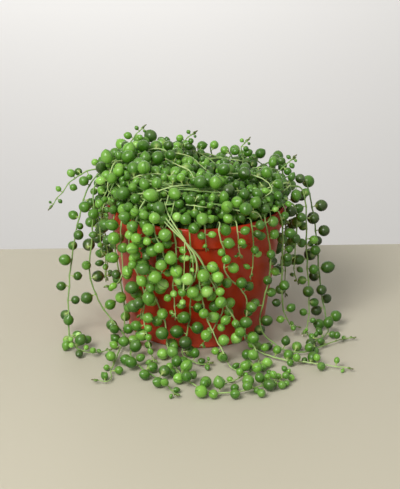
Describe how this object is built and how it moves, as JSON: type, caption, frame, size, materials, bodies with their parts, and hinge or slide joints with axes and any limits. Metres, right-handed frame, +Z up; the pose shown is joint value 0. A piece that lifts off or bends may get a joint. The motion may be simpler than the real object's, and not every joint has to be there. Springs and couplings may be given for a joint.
{
  "type": "potted string of pearls",
  "caption": "Trailing succulent with round bead-like leaves on thin stems, heaped on and hanging over a round tapered pot with a stepped collar.",
  "frame": {"origin": "middle of the pot's underside, on the surface it stands on", "axes": "+Z up; -Y towards the viewer of the picture; +X to the viewer's right"},
  "size_m": [0.2022, 0.2218, 0.1315],
  "materials": {
    "pot": "satin",
    "soil": "matte",
    "pearls": "satin"
  },
  "bodies": {
    "root": {"crown": "pearls", "pot": "pot", "soil": "soil", "spray_front": "pearls", "strand_back_1": "pearls", "strand_back_10": "pearls", "strand_back_11": "pearls", "strand_back_2": "pearls", "strand_back_3": "pearls", "strand_back_4": "pearls", "strand_back_5": "pearls", "strand_back_6": "pearls", "strand_back_7": "pearls", "strand_back_8": "pearls", "strand_back_9": "pearls", "strand_front_dark": "pearls", "strand_front_left_1": "pearls", "strand_front_left_2": "pearls", "strand_front_left_3": "pearls", "strand_front_left_4": "pearls", "strand_front_left_tip": "pearls", "strand_front_right": "pearls", "strand_front_right_short": "pearls", "strand_front_short": "pearls", "strand_left_front": "pearls", "strand_left_long": "pearls", "strand_left_outer": "pearls", "strand_left_short": "pearls", "strand_right_edge": "pearls", "strand_right_floor": "pearls", "strand_right_front": "pearls", "strand_right_inner": "pearls", "strand_right_outer": "pearls", "strand_right_short": "pearls"}
  },
  "joints": []
}
